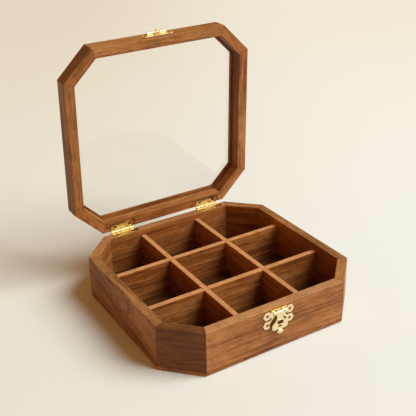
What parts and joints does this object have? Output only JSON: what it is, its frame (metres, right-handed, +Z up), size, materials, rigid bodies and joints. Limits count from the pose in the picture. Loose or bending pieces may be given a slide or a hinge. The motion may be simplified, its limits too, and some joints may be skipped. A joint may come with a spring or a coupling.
{
  "type": "tea bag organizer box",
  "caption": "Octagonal walnut box with a grid of tea bag compartments, a glazed lid on brass butt hinges and a hinged brass clasp at the front.",
  "frame": {"origin": "middle of the box's underside, on the surface that it stands on", "axes": "+Z up out of the box, -Y towards the clasp at the front, +X to the right seen from the front"},
  "size_m": [0.24, 0.2551, 0.2875],
  "materials": {
    "wall_wood": "satin oiled walnut",
    "bottom_wood": "satin oiled walnut",
    "divider_wood": "satin oiled walnut",
    "lid_wood": "satin oiled walnut",
    "glass": "clear float glass",
    "hinge_brass": "polished",
    "clasp_brass": "polished",
    "screw_brass": "polished"
  },
  "bodies": {
    "base": {"bottom_board": "bottom_wood", "front_wall": "wall_wood", "front_right_wall": "wall_wood", "right_wall": "wall_wood", "back_right_wall": "wall_wood", "back_wall": "wall_wood", "back_left_wall": "wall_wood", "left_wall": "wall_wood", "front_left_wall": "wall_wood", "front_divider": "divider_wood", "back_divider": "divider_wood", "left_divider": "divider_wood", "right_divider": "divider_wood", "left_hinge_base_leaf": "hinge_brass", "left_hinge_pin": "hinge_brass", "right_hinge_base_leaf": "hinge_brass", "right_hinge_pin": "hinge_brass", "hinge_base_screws": "screw_brass", "hasp_plate": "clasp_brass", "hasp_screws": "screw_brass", "hasp_pin": "clasp_brass"},
    "lid": {"lid_front_rail": "lid_wood", "lid_front_right_rail": "lid_wood", "lid_right_rail": "lid_wood", "lid_back_right_rail": "lid_wood", "lid_back_rail": "lid_wood", "lid_back_left_rail": "lid_wood", "lid_left_rail": "lid_wood", "lid_front_left_rail": "lid_wood", "glass_pane": "glass", "left_hinge_lid_leaf": "hinge_brass", "right_hinge_lid_leaf": "hinge_brass", "hinge_lid_screws": "screw_brass", "catch_plate": "clasp_brass", "catch_staple": "clasp_brass", "catch_screws": "screw_brass"},
    "clasp_flap": {"hasp_flap": "clasp_brass", "hasp_knob": "clasp_brass"}
  },
  "joints": [
    {"name": "lid_hinge", "type": "hinge", "parent": "base", "child": "lid", "pos_m": [0, 0.1161, 0.0517], "axis": [1, 0, 0], "range_deg": [0, 88]},
    {"name": "clasp_swing", "type": "hinge", "parent": "base", "child": "clasp_flap", "pos_m": [0, -0.1174, 0.0469], "axis": [-1, 0, 0], "range_deg": [0, 180]}
  ]
}
